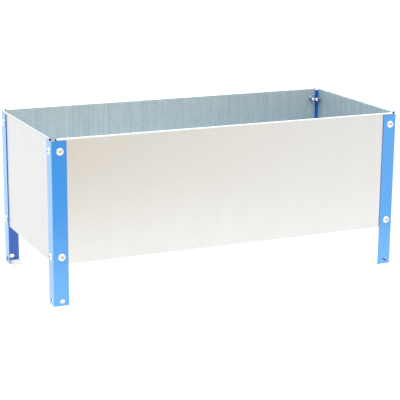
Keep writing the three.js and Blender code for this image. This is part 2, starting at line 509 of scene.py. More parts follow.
def bolt_nodes(side: Side | None = None, corner: str = "", level: str = "") -> list[tuple[str, Side]]:
    """The bolt nodes on a side, at a corner or at a level, each with its side.

    Args:
        side: only this side.
        corner: only the corner with this label.
        level: only "upper" or "lower".

    Returns:
        Node names with their sides.
    """
    found = []
    for each in Side:
        for name in sorted(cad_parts):
            wanted = name.startswith(f"bolt_{each.label}_at_{corner}") and name.endswith(level)
            if wanted and side in (None, each):
                found.append((name, each))
    return found


def bolt_rods(bolts: Sequence[tuple[str, Side]], radius: float) -> list[Obj]:
    """A rod for each bolt's hole."""
    return [drill_rod(fastener_place(name, side, DRILL_START), radius) for name, side in bolts]


def set_at_corners(obj: Obj, word: str, start: Vector, finish: Material) -> None:
    """Copies the front left corner's piece to the other corners, and hands over all four.

    Args:
        obj: the piece at the front left.
        word: the first word of its nodes' names.
        start: the front left post's outer corner.
        finish: the material.
    """
    first, *others = Corner
    for corner in (*others, first):
        piece = obj if corner is first else copy_of(obj, corner.step(start))
        hand_over(piece, f"{word}_{corner.label}", finish)


# Finishes


class Net:
    """Short calls for laying nodes in a tree."""

    def __init__(self, tree: bpy.types.NodeTree) -> None:
        """Keeps the tree to work on."""
        self.tree = tree

    def node(self, kind: str, inputs: dict[str | int, object] | None = None, **settings: object) -> Node:
        """Adds a node and fills it in.

        Args:
            kind: Blender's node type, without ShaderNode in front.
            inputs: values or output sockets for its named or numbered inputs.
            **settings: properties of the node.

        Returns:
            The node.
        """
        made = self.tree.nodes.new(f"ShaderNode{kind}")
        for key, value in settings.items():
            setattr(made, key, value)
        for key, value in (inputs or {}).items():
            self.feed(made.inputs[key], value)
        return made

    def feed(self, socket: Socket, value: object) -> None:
        """Links an output to the socket, or sets its value; colours get full alpha.

        Args:
            socket: the input to fill.
            value: an output socket or a plain value.
        """
        if isinstance(value, Socket):
            self.tree.links.new(value, socket)
        else:
            socket.default_value = (*value, 1.0) if socket.type == "RGBA" else value

    def maths(self, operation: str, *values: object, clamp: bool = False) -> Socket:
        """A Math node's result."""
        return self.node("Math", dict(enumerate(values)), operation=operation, use_clamp=clamp).outputs[0]

    def times(self, first: object, *others: object) -> Socket:
        """The values' product, kept between 0 and 1.

        Args:
            first: the first value.
            *others: what it is multiplied by, in turn.

        Returns:
            The product.
        """
        for value in others:
            first = self.maths("MULTIPLY", first, value, clamp=True)
        return first

    def vector(self, operation: str, *values: object) -> Socket:
        """A Vector Math node's result."""
        made = self.node("VectorMath", dict(enumerate(values)), operation=operation)
        return made.outputs["Value" if operation in ("DOT_PRODUCT", "DISTANCE") else "Vector"]

    def part(self, vector: Socket, axis: str) -> Socket:
        """One coordinate of a vector."""
        return self.node("SeparateXYZ", {0: vector}).outputs[axis]

    def span(
        self, value: Socket, low: object, high: object, to_low: float = 0.0, to_high: float = 1.0
    ) -> Socket:
        """Value mapped smoothly from one range to another."""
        ends = {"Value": value, "From Min": low, "From Max": high, "To Min": to_low, "To Max": to_high}
        return self.node("MapRange", ends, interpolation_type="SMOOTHSTEP").outputs[0]

    def blend(self, share: object, first: object, second: object) -> Socket:
        """Two colours mixed by a share.

        Args:
            share: 0 for the first colour, 1 for the second.
            first: the first colour.
            second: the second colour.

        Returns:
            The mixed colour.
        """
        made = self.node("Mix", data_type="RGBA")
        for number, value in ((0, share), (6, first), (7, second)):
            self.feed(made.inputs[number], value)
        return made.outputs[2]

    def noise(self, vector: Socket, scale: object, detail: float, roughness: float = 0.5) -> Socket:
        """A noise value, 0 to 1."""
        inputs = {"Vector": vector, "Scale": scale, "Detail": detail, "Roughness": roughness}
        return self.node("TexNoise", inputs).outputs[0]

    def place(self) -> Socket:
        """The point on the piece, in metres."""
        return self.node("TexCoord").outputs["Object"]

    def normal(self) -> Socket:
        """The way the surface faces."""
        return self.node("NewGeometry").outputs["Normal"]

    def mark(self) -> Socket:
        """1 on the faces marked as lying in a recess."""
        return self.node("Attribute", attribute_name=HOLLOW).outputs["Fac"]

    def bump(self, strength: float, distance: float, height: Socket) -> Socket:
        """The normal of a surface with this height on it."""
        return self.node("Bump", {"Strength": strength, "Distance": distance, "Height": height}).outputs[0]


class Surface(Net):
    """The tree of a new material with one Principled shader."""

    def __init__(self, name: str) -> None:
        """Makes the material.

        Args:
            name: the material's name.
        """
        self.material = bpy.data.materials.new(name)
        self.material.use_nodes = True
        super().__init__(self.material.node_tree)
        self.tree.nodes.clear()
        self.shader = self.node("BsdfPrincipled")
        self.output = self.node("OutputMaterial", {"Surface": self.shader.outputs[0]})

    def dress(self, **values: object) -> None:
        """Feeds the shader's inputs, named with _ for a space."""
        for word, value in values.items():
            self.feed(self.shader.inputs[word.replace("_", " ")], value)


@dataclass
class Effect:
    """A shared surface effect as a node group, made once and reused."""

    name: str
    inputs: dict[str, float]
    outputs: tuple[str, ...]
    lay: Callable[[Net, Outputs], tuple[Socket, ...]]
    group: bpy.types.NodeTree | None = field(default=None, repr=False)

    def make(self) -> bpy.types.NodeTree:
        """Builds the group the first time it is asked for.

        Returns:
            The group.
        """
        if self.group is None:
            self.group = bpy.data.node_groups.new(self.name, "ShaderNodeTree")
            face = self.group.interface
            for word, value in self.inputs.items():
                socket = face.new_socket(word, in_out="INPUT", socket_type="NodeSocketFloat")
                socket.default_value = value
            for word in self.outputs:
                face.new_socket(word, in_out="OUTPUT", socket_type="NodeSocketFloat")
            given = self.group.nodes.new("NodeGroupInput").outputs
            out = self.group.nodes.new("NodeGroupOutput").inputs
            net = Net(self.group)
            for word, result in zip(self.outputs, self.lay(net, given)):
                net.feed(out[word], result)
        return self.group

    def use(self, net: Net, **values: float) -> Outputs:
        """Places the group in a tree.

        Args:
            net: the tree.
            **values: its inputs.

        Returns:
            Its outputs.
        """
        made = net.node("Group")
        made.node_tree = self.make()
        for word, value in values.items():
            net.feed(made.inputs[word], value)
        return made.outputs


def lay_grain(net: Net, given: Outputs) -> tuple[Socket, Socket]:
    """Rolling grain: fine and broad streaks, drawn out along the direction the sheet was rolled in.

    Args:
        net: the nodes of the group.
        given: the inputs of the group.

    Returns:
        The fine and the broad streaks, 0 to 1.
    """
    stretch = net.node("CombineXYZ", {axis: given[axis] for axis in "XYZ"}).outputs[0]
    drawn = net.vector("MULTIPLY", net.place(), stretch)
    fine = net.span(net.noise(drawn, 1.0, 3.0, 0.6), 0.3, 0.7)
    return fine, net.span(net.noise(drawn, 0.16, 2.0), 0.32, 0.68)


def lay_spangle(net: Net, given: Outputs) -> tuple[Socket]:
    """Zinc crystals: patches of slightly different tone with soft borders.

    Args:
        net: the nodes of the group.
        given: the inputs of the group.

    Returns:
        The tone of each crystal.
    """
    place = net.place()
    wobble = net.node("TexNoise", {"Vector": place, "Scale": 60.0, "Detail": 2.0}).outputs[1]
    moved = net.vector("MULTIPLY_ADD", wobble, (0.006, 0.006, 0.006), place)
    pattern = {"Vector": moved, "Scale": given["Scale"], "Smoothness": 0.35}
    cells = net.node("TexVoronoi", pattern, feature="SMOOTH_F1")
    return (net.node("SeparateColor", {0: cells.outputs["Color"]}).outputs[0],)


def lay_smudges(net: Net, given: Outputs) -> tuple[Socket]:
    """Handling marks: soft clouds, thin where the amount is low.

    Args:
        net: the nodes of the group.
        given: the inputs of the group.

    Returns:
        1 in the marks.
    """
    edge = net.maths("MULTIPLY_ADD", given["Amount"], -0.35, 0.72)
    return (net.span(net.noise(net.place(), given["Scale"], 4.0, 0.55), edge, 0.85),)


def lay_scratches(net: Net, given: Outputs) -> tuple[Socket]:
    """Hairline scratches in two slanting directions, broken up by patches.

    Args:
        net: the nodes of the group.
        given: the inputs of the group.

    Returns:
        1 on the scratches, times the amount.
    """
    place = net.place()
    lines = []
    for turn in ((0.4, 0.5, 0.7), (-0.6, -0.35, -0.45)):
        slanted = net.node("Mapping", {"Vector": place, "Rotation": turn, "Scale": (900.0, 900.0, 14.0)})
        lines.append(net.span(net.noise(slanted.outputs[0], 1.0, 0.0), 0.74, 0.8))
    patches = net.span(net.noise(place, 9.0, 2.0), 0.48, 0.62)
    return (net.times(net.maths("MAXIMUM", *lines), patches, given["Amount"]),)


def lay_edge_rub(net: Net, given: Outputs) -> tuple[Socket]:
    """Rubbed edges: the surface near an outward edge, broken up by a fine noise.

    Args:
        net: the nodes of the group.
        given: the inputs of the group.

    Returns:
        1 on the rubbed edges, times the amount.
    """
    rounded = net.node("Bevel", {"Radius": given["Radius"]}, samples=4).outputs[0]
    agree = net.vector("DOT_PRODUCT", rounded, net.normal())
    edge = net.span(net.maths("SUBTRACT", 1.0, agree), 0.015, 0.2)
    broken = net.span(net.noise(net.place(), 240.0, 3.0, 0.65), 0.38, 0.62, 0.15, 1.0)
    return (net.times(edge, broken, given["Amount"]),)


def lay_dust(net: Net, given: Outputs) -> tuple[Socket]:
    """Settled dust: faces that look up, in uneven drifts.

    Args:
        net: the nodes of the group.
        given: the inputs of the group.

    Returns:
        1 where the dust lies thickest, times the amount.
    """
    drift = net.span(net.noise(net.place(), 26.0, 5.0, 0.6), 0.3, 0.75, 0.25, 1.0)
    return (net.times(net.span(net.part(net.normal(), "Z"), 0.35, 0.95), drift, given["Amount"]),)


def lay_outer_faces(net: Net, given: Outputs) -> tuple[Socket]:
    """Faces that look away from the middle of the planter, not into it.

    Args:
        net: the nodes of the group.
        given: the inputs of the group.

    Returns:
        1 on the outer faces, 0 on the inner ones.
    """
    level = net.vector("MULTIPLY", net.place(), (1.0, 1.0, 0.0))
    outward = net.vector("DOT_PRODUCT", net.normal(), level)
    return (net.span(outward, net.maths("MULTIPLY", given["Softness"], -1.0), given["Softness"]),)


def lay_floor_glare(net: Net, given: Outputs) -> tuple[Socket]:
    """Painted reflection of the bright floor: paler near the ground, thinning out upwards.

    Args:
        net: the nodes of the group.
        given: the inputs of the group.

    Returns:
        1 near the ground, times the amount.
    """
    place = net.place()
    cloud = net.maths("SUBTRACT", net.noise(place, 34.0, 4.0, 0.6), 0.5)
    ragged = net.maths("MULTIPLY_ADD", cloud, 0.08, net.part(place, "Z"))
    near_ground = net.span(net.maths("DIVIDE", ragged, given["Height"]), 0.1, 1.1, 1.0, 0.0)
    return (net.times(near_ground, OUTER_FACES.use(net)["Mask"], given["Amount"]),)


def lay_painted_glare(net: Net, given: Outputs) -> tuple[Socket]:
    """Painted highlight on the outer faces, stronger towards +X and on the faces that look along -X, where
    glare and the strong light from the left wash the paint out.

    Args:
        net: the nodes of the group.
        given: the inputs of the group.

    Returns:
        1 where the sun has bleached most.
    """
    place = net.place()
    end = net.times(net.span(net.part(place, "X"), given["Start"], given["End"]), given["Amount"])
    side = net.times(net.span(net.part(net.normal(), "X"), -0.5, -0.9), given["Side"])
    cloud = net.span(net.noise(place, 7.0, 3.0), 0.3, 0.7, 0.8, 1.0)
    return (net.times(net.maths("MAXIMUM", end, side), cloud, OUTER_FACES.use(net)["Mask"]),)


def lay_skin(net: Net, given: Outputs) -> tuple[Socket, Socket]:
    """The fine unevenness of a sprayed, moulded or plated skin, with a few larger specks.

    Args:
        net: the nodes of the group.
        given: the inputs of the group.

    Returns:
        The height of the skin, and 1 on the specks.
    """
    place = net.place()
    specks = net.node("TexVoronoi", {"Vector": place, "Scale": 170.0}).outputs["Distance"]
    return net.noise(place, given["Scale"], 2.0), net.span(specks, 0.05, 0.12, 1.0, 0.0)


MASK = ("Mask",)
OUTER_FACES = Effect("outer_faces", {"Softness": 0.05}, MASK, lay_outer_faces)
GRAIN = Effect("rolling_grain", {"X": 400.0, "Y": 400.0, "Z": 6.0}, ("Fine", "Broad"), lay_grain)
SPANGLE = Effect("zinc_spangle", {"Scale": 110.0}, ("Tone",), lay_spangle)
SMUDGES = Effect("soft_smudges", {"Scale": 8.0, "Amount": 0.5}, MASK, lay_smudges)
SCRATCHES = Effect("hairline_scratches", {"Amount": 0.5}, MASK, lay_scratches)
EDGE_RUB = Effect("edge_rub", {"Radius": 0.6 * MM, "Amount": 0.6}, MASK, lay_edge_rub)
DUST = Effect("settled_dust", {"Amount": 0.2}, MASK, lay_dust)
# Painted reflection of the bright floor, low on the posts.
FLOOR_GLARE = Effect("painted_floor_glare", {"Height": 0.2, "Amount": 0.5}, MASK, lay_floor_glare)
# Painted highlight of glare towards +X and on faces that look along -X.
PAINTED_GLARE = Effect("painted_glare", {"Start": -0.3, "End": 0.5, "Amount": 0.5, "Side": 0.95}, MASK, lay_painted_glare)
SKIN = Effect("fine_skin", {"Scale": 900.0}, ("Height", "Specks"), lay_skin)


@dataclass(frozen=True)
class GalvanisedFinish:
    """Bare zinc-coated sheet: wiped and warm outside; inside, painted shade makes it cooler and darker,
    more so towards +X, and the grain more streaked.
    """

    name: str
    grain: Triple
    outer_light: Colour = (0.684, 0.679, 0.652)
    outer_dark: Colour = (0.667, 0.662, 0.635)
    # Painted shade: the inner faces take cooler, darker tones, standing in for the shade inside the box.
    shaded_inner_light: Colour = (0.79, 0.85, 0.87)
    shaded_inner_dark: Colour = (0.50, 0.58, 0.62)
    bright: Colour = (0.76, 0.755, 0.75)
    smudged: Colour = (0.65, 0.64, 0.63)
    dust_colour: Colour = (0.52, 0.50, 0.47)
    # Painted shade inside the rolled rim and on its ends.
    roll_shade_colour: Colour = (0.05, 0.055, 0.05)
    # Painted shade inside: a little lighter at low X, darker towards +X.
    inner_shade_by_x: tuple[float, float] = (0.08, -0.12)
    outer_roughness: tuple[float, float] = (0.36, 0.30)
    inner_roughness: tuple[float, float] = (0.54, 0.42)

    def make(self) -> Material:
        """Builds the material.

        Returns:
            The material.
        """
        net = Surface(self.name)
        streak = GRAIN.use(net, **dict(zip("XYZ", self.grain)))
        crystal = SPANGLE.use(net, Scale=95.0)["Tone"]
        smudge = SMUDGES.use(net, Scale=7.0, Amount=0.6)["Mask"]
        scratch = SCRATCHES.use(net, Amount=0.35)["Mask"]
        rub = EDGE_RUB.use(net, Radius=0.5 * MM, Amount=0.5)["Mask"]
        dust = DUST.use(net, Amount=0.12)["Mask"]
        outside = OUTER_FACES.use(net)["Mask"]
        tone = net.maths("MULTIPLY_ADD", streak["Broad"], 0.3, net.maths("MULTIPLY", streak["Fine"], 0.45))
        tone = net.maths("MULTIPLY_ADD", crystal, 0.25, tone)
        # Painted shade on the inner faces, darkening towards +X.
        shade_by_x = net.span(net.part(net.place(), "X"), 0.1, 0.45, *self.inner_shade_by_x)
        inner = net.blend(net.maths("ADD", tone, shade_by_x, clamp=True), self.shaded_inner_dark, self.shaded_inner_light)
        colour = net.blend(outside, inner, net.blend(tone, self.outer_dark, self.outer_light))
        colour = net.blend(net.maths("MULTIPLY", smudge, 0.35), colour, self.smudged)
        colour = net.blend(net.maths("MAXIMUM", rub, scratch), colour, self.bright)
        colour = net.blend(dust, colour, self.dust_colour)
        inner_rough = net.span(tone, 0.1, 0.9, *self.inner_roughness)
        outer_rough = net.span(tone, 0.1, 0.9, *self.outer_roughness)
        step = net.maths("SUBTRACT", outer_rough, inner_rough)
        rough = net.maths("MULTIPLY_ADD", outside, step, inner_rough)
        rough = net.maths("MULTIPLY_ADD", smudge, 0.06, rough)
        height = net.maths("SUBTRACT", net.maths("MULTIPLY_ADD", crystal, 0.6, streak["Fine"]), scratch)
        # Painted shade on the marked faces of the rolled rim.
        net.dress(
            Base_Color=net.blend(net.mark(), colour, self.roll_shade_colour),
            Metallic=net.maths("MULTIPLY_ADD", dust, -0.9, 1.0),
            Roughness=net.maths("MULTIPLY_ADD", dust, 0.3, rough),
            Normal=net.bump(0.18, 0.02 * MM, height),
        )
        return net.material


@dataclass(frozen=True)
class PaintFinish:
    """Smooth blue powder coat, a little glossy, paler where its edges are rubbed; painted highlight makes
    it paler near the ground, towards +X and on faces that look along -X, and painted shade darkens its
    inner faces.
    """

    name: str
    colour: Colour = (0.003, 0.218, 0.61)
    deep: Colour = (0.001, 0.197, 0.57)
    rubbed: Colour = (0.12, 0.32, 0.6)
    # Painted highlight: the paler blue of the floor's reflection and of glare.
    faded: Colour = (0.09, 0.325, 0.665)
    shaded: Colour = (0.0, 0.09, 0.56)
    dust_colour: Colour = (0.5, 0.52, 0.53)

    def make(self) -> Material:
        """Builds the material.

        Returns:
            The material.
        """
        net = Surface(self.name)
        skin = SKIN.use(net, Scale=700.0)
        smudge = SMUDGES.use(net, Scale=16.0, Amount=0.7)["Mask"]
        scratch = SCRATCHES.use(net, Amount=0.3)["Mask"]
        rub = EDGE_RUB.use(net, Radius=0.8 * MM, Amount=0.55)["Mask"]
        dust = DUST.use(net, Amount=0.2)["Mask"]
        # Painted reflection of the bright floor near the ground.
        floor_glare = FLOOR_GLARE.use(net, Height=0.22, Amount=0.9)["Mask"]
        inside = net.maths("SUBTRACT", 1.0, OUTER_FACES.use(net)["Mask"])
        colour = net.blend(net.noise(net.place(), 5.0, 3.0), self.deep, self.colour)
        # Painted highlight: the floor's reflection and glare make the paint paler.
        colour = net.blend(net.maths("MAXIMUM", floor_glare, PAINTED_GLARE.use(net)["Mask"]), colour, self.faded)
        # Painted shade on the inner faces of the posts.
        colour = net.blend(net.maths("MULTIPLY", inside, 0.7), colour, self.shaded)
        colour = net.blend(net.maths("MAXIMUM", rub, scratch), colour, self.rubbed)
        rough = net.maths("MULTIPLY_ADD", smudge, 0.12, 0.33)
        rough = net.maths("MULTIPLY_ADD", dust, 0.3, rough)
        net.dress(
            Base_Color=net.blend(dust, colour, self.dust_colour),
            Roughness=net.maths("MULTIPLY_ADD", rub, 0.1, rough),
            Coat_Weight=1.0,
            Coat_Roughness=0.16,
            Coat_IOR=1.6,
            Specular_IOR_Level=0.2,
            Normal=net.bump(0.3, 0.03 * MM, net.maths("MULTIPLY_ADD", skin["Specks"], 0.5, skin["Height"])),
        )
        return net.material


@dataclass(frozen=True)
class ZincPlateFinish:
    """Bright zinc plate on bolts and nuts, with tool marks and a trace of yellow in the hollows; the nuts
    are given dark blue colours as painted shade.
    """

    name: str
    light: Colour = (0.8, 0.81, 0.82)
    dull: Colour = (0.62, 0.62, 0.6)
    tarnish: Colour = (0.6, 0.5, 0.38)
    worn: Colour = (0.93, 0.94, 0.95)
    dust_colour: Colour = (0.6, 0.58, 0.55)
    gloss: float = 0.24

    def make(self) -> Material:
        """Builds the material.

        Returns:
            The material.
        """
        net = Surface(self.name)
        smudge = SMUDGES.use(net, Scale=120.0, Amount=0.8)["Mask"]
        rub = EDGE_RUB.use(net, Radius=0.4 * MM, Amount=0.7)["Mask"]
        dust = DUST.use(net, Amount=0.15)["Mask"]
        colour = net.blend(rub, net.blend(smudge, self.light, self.dull), self.worn)
        colour = net.blend(net.maths("MULTIPLY", net.mark(), 0.85), colour, self.tarnish)
        rough = net.maths("MULTIPLY_ADD", smudge, 0.14, self.gloss)
        net.dress(
            Base_Color=net.blend(dust, colour, self.dust_colour),
            Metallic=net.maths("MULTIPLY_ADD", dust, -0.8, 1.0),
            Roughness=net.maths("MULTIPLY_ADD", dust, 0.3, rough),
            Normal=net.bump(0.3, 0.015 * MM, SKIN.use(net, Scale=1500.0)["Height"]),
        )
        return net.material


@dataclass(frozen=True)
class PlasticFinish:
    """Pale moulded plastic with a fine spark texture and dust in it."""

    name: str
    colour: Colour = (0.93, 0.93, 0.92)
    warm: Colour = (0.9, 0.895, 0.88)
    worn: Colour = (0.95, 0.95, 0.95)
    dust_colour: Colour = (0.8, 0.78, 0.74)

    def make(self) -> Material:
        """Builds the material.

        Returns:
            The material.
        """
        net = Surface(self.name)
        smudge = SMUDGES.use(net, Scale=40.0, Amount=0.8)["Mask"]
        rub = EDGE_RUB.use(net, Radius=0.7 * MM, Amount=0.5)["Mask"]
        dust = DUST.use(net, Amount=0.12)["Mask"]
        colour = net.blend(rub, net.blend(smudge, self.colour, self.warm), self.worn)
        rough = net.maths("MULTIPLY_ADD", smudge, 0.1, 0.46)
        net.dress(
            Base_Color=net.blend(dust, colour, self.dust_colour),
            Roughness=net.maths("MULTIPLY_ADD", dust, 0.25, rough),
            Normal=net.bump(0.4, 0.03 * MM, SKIN.use(net, Scale=1100.0)["Height"]),
        )
        return net.material


# The box


@dataclass(frozen=True)
class PanelPlan:
    """A panel's lines in the front position: its outer face, half its length, its lower and upper folds."""

    face: float
    half_run: float
    base: float
    top: float


@dataclass
class PanelPair:
    """Two panels that face each other, with a rolled rim along the top and a turned-in bottom edge."""

    sides: tuple[Side, Side]
    finish: Material
    lip_cut: float
    thickness: float = 1.2 * MM
    rim_radius: float = 2.6 * MM
    rim_curl: float = math.radians(285)
    rim_steps: int = 22
    lip_width: float = 18 * MM
    fold_radius: float = 2.2 * MM
    fold_steps: int = 8
    hole_radius: float = 4.5 * MM
    edge_break: float = 0.22 * MM
    # How far from each end the rolled rim gets painted shade.
    roll_shade_band: float = 2.2 * MM

    def measure(self, low: Vector, high: Vector) -> PanelPlan:
        """The first panel's lines.

        Args:
            low: lowest corner of the panel's box.
            high: highest corner of its box.

        Returns:
            The lines, as if the panel stood at the front.
        """
        turn_home = self.sides[0].turn.inverted()
        ends = [turn_home @ Vector(p) for p in (low, high)]
        face = max(-end.y for end in ends) - 2 * self.rim_radius + self.thickness
        top = high.z - self.rim_radius - 0.01 * MM
        return PanelPlan(face, abs(ends[0].x - ends[1].x) / 2, low.z + self.fold_radius, top)

    def blank(self, plan: PanelPlan) -> Obj:
        """The flat blank in the front position, on the middle of the sheet's thickness.

        Args:
            plan: the panel's lines.

        Returns:
            The blank, marked out for folding.
        """
        middle = (0, self.thickness / 2 - plan.face, (plan.top + plan.base) / 2)
        obj = sheet_plane(2 * plan.half_run, plan.top - plan.base, middle, upright=True)
        with editing(obj):
            mark_lines(obj, "Z", plan.base + FIRST_RUN, plan.top - FIRST_RUN)
            for inset in (self.roll_shade_band, self.lip_cut):
                if inset > 0:
                    mark_lines(obj, "X", inset - plan.half_run, plan.half_run - inset)
        return obj

    def form(self, obj: Obj, plan: PanelPlan) -> None:
        """Rolls the rim outwards and turns the bottom edge in.

        Args:
            obj: the blank.
            plan: the panel's lines.
        """
        middle = self.thickness / 2 - plan.face
        roll = self.rim_radius - self.thickness / 2
        bend = self.fold_radius - self.thickness / 2
        reach = plan.half_run - self.lip_cut + PLAY / 2
        low = plan.base - bend
        with editing(obj):
            pick_line(obj, UP, plan.top)
            fold((0, middle - roll, plan.top), (1, 0, 0), self.rim_curl, self.rim_steps)
            pick_line(obj, UP, plan.base, lambda a, b: max(abs(a.x), abs(b.x)) < reach)
            fold((0, middle + bend, plan.base), (1, 0, 0), QUARTER, self.fold_steps)
            pick_line(obj, UP, low, lambda a, b: near(a.y, b.y))
            run_out((0, 1, 0), self.lip_width - self.fold_radius)
            tidy_shell()

    def in_roll(self, offset: Vector, half_run: float) -> bool:
        """Tells whether a face is the inside or the end of the first panel's rolled rim, where shade is
        painted.

        Args:
            offset: the face's middle, from the roll's axis.
            half_run: half the panel's length.

        Returns:
            True for such a face.
        """
        first = self.sides[0]
        from_axis = math.hypot(offset.dot(first.outwards), offset.z)
        along = abs(offset.dot(first.turn @ ALONG))
        shaded_roll_end = along > half_run - self.roll_shade_band and from_axis < self.rim_radius * 1.6
        return shaded_roll_end or from_axis < self.rim_radius - 0.8 * self.thickness

    def build(self) -> None:
        """Makes and drills the first panel, copies it, and puts both in place."""
        first, second = self.sides
        plan = self.measure(*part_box(first.panel))
        obj = self.blank(plan)
        self.form(obj, plan)
        thicken(obj, self.thickness)
        obj.data.transform(first.turn)
        combine(obj, join_tools(bolt_rods(bolt_nodes(side=first), self.hole_radius)))
        break_edges(obj, self.edge_break)
        axis = first.outwards * (plan.face + self.rim_radius - self.thickness) + UP * plan.top
        # Painted shade inside the rolled rim and on its last few millimetres.
        mark_hollow(obj, lambda co: self.in_roll(co - axis, plan.half_run))
        twin = copy_of(obj, Side.BACK.turn)
        hand_over(obj, first.panel, self.finish)
        hand_over(twin, second.panel, self.finish)


@dataclass
class FloorTray:
    """The floor: a shallow sheet tray with folded edges, two pressed ribs and drain holes."""

    finish: Material
    node: str = "floor_tray"
    thickness: float = 1.2 * MM
    fold_radius: float = 2.2 * MM
    fold_steps: int = 8
    slit: float = 3.4 * MM
    rib_offset: float = 66 * MM
    rib_foot: float = 18 * MM
    rib_crown: float = 10 * MM
    rib_rise: float = 3.4 * MM
    rib_reach: float = 400 * MM
    rib_margin: float = 4 * MM
    rib_round: float = 1.6 * MM
    drain_radius: float = 5 * MM
    drain_pitch: float = 150 * MM
    drain_rows: tuple[float, float] = (-125 * MM, 125 * MM)
    drains_per_row: int = 6
    hole_radius: float = 4.5 * MM
    edge_break: float = 0.2 * MM

    def base_sheet(self, high: Vector, level: float) -> Obj:
        """The flat base with its corners cut away.

        Args:
            high: highest corner of the tray's box.
            level: height of the middle of the sheet.

        Returns:
            The base, marked out for folding.
        """
        bend = high - Vector((self.fold_radius, self.fold_radius, 0))
        reach = high - Vector((self.slit, self.slit, 0))
        obj = sheet_plane(2 * bend.x, 2 * bend.y, (0, 0, level), upright=False)
        with editing(obj):
            for end in (-1, 1):
                mark_lines(obj, "X", end * reach.x)
                mark_lines(obj, "Y", end * reach.y)
                mark_lines(obj, "X", end * (bend.x - 2 * FIRST_RUN))
                mark_lines(obj, "Y", end * (bend.y - 2 * FIRST_RUN))
            pick_faces(obj, lambda co: abs(co.x) > reach.x and abs(co.y) > reach.y)
            bpy.ops.mesh.delete(type="FACE")
        return obj

    def press_ribs(self, obj: Obj) -> None:
        """Raises two ribs out of the base, with soft shoulders.

        Args:
            obj: the flat base.
        """
        foot, crown = self.rib_foot / 2, self.rib_crown / 2
        crown_reach = self.rib_reach - (foot - crown)
        with editing(obj):
            for end in (-1, 1):
                for x in (self.rib_reach, crown_reach, self.rib_reach + self.rib_margin):
                    mark_lines(obj, "X", end * x)
                for y in (foot + self.rib_margin, foot, crown):
                    mark_lines(obj, "Y", end * self.rib_offset + y, end * self.rib_offset - y)
            pick_faces(obj, lambda co: abs(abs(co.y) - self.rib_offset) < crown and abs(co.x) < crown_reach)
            bpy.ops.transform.translate(value=(0, 0, self.rib_rise))
            bent = math.radians(8)
            pick(obj, "EDGE", lambda edge: len(edge.link_faces) == 2 and edge.calc_face_angle(0.0) > bent)
            bpy.ops.mesh.bevel(offset=self.rib_round, segments=4, affect="EDGES", clamp_overlap=True)

    def fold_edges(self, obj: Obj, high: Vector, level: float) -> None:
        """Turns up all four edges.

        Args:
            obj: the base with its ribs.
            high: highest corner of the tray's box.
            level: height of the middle of the sheet.
        """
        bend = self.fold_radius - self.thickness / 2
        with editing(obj):
            for out in (Vector((0, -1, 0)), Vector((0, 1, 0)), -ALONG, ALONG):
                along = out.cross(UP)
                edge = abs(high.dot(out)) - self.fold_radius
                reach = abs(high.dot(along)) - self.slit + PLAY
                pick_line(obj, out, edge, lambda a, b: max(abs(a.dot(along)), abs(b.dot(along))) < reach)
                fold(out * edge + UP * (level + bend), along, QUARTER, self.fold_steps)
                pick_line(obj, out, edge + bend, lambda a, b: near(a.z, b.z))
                run_out(UP, high.z - level - bend)
            tidy_shell()

    def drains(self, level: float) -> list[Obj]:
        """Rods for the drain holes.

        Args:
            level: height of the middle of the sheet.

        Returns:
            The rods, row by row.
        """
        upright = Matrix.Rotation(QUARTER, 4, "X")
        rods = []
        for y in self.drain_rows:
            for i in range(self.drains_per_row):
                x = (i - (self.drains_per_row - 1) / 2) * self.drain_pitch
                place = Matrix.Translation((x, y, level)) @ upright
                rods.append(drill_rod(place, self.drain_radius, 8 * MM))
        return rods

    def build(self) -> None:
        """Makes the tray and puts it in place."""
        low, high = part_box(self.node)
        level = low.z + self.thickness / 2
        obj = self.base_sheet(high, level)
        self.press_ribs(obj)
        self.fold_edges(obj, high, level)
        thicken(obj, self.thickness)
        rods = bolt_rods(bolt_nodes(level="lower"), self.hole_radius) + self.drains(level)
        combine(obj, join_tools(rods))
        break_edges(obj, self.edge_break, angle=50.0)
        hand_over(obj, self.node, self.finish)


# Posts and feet


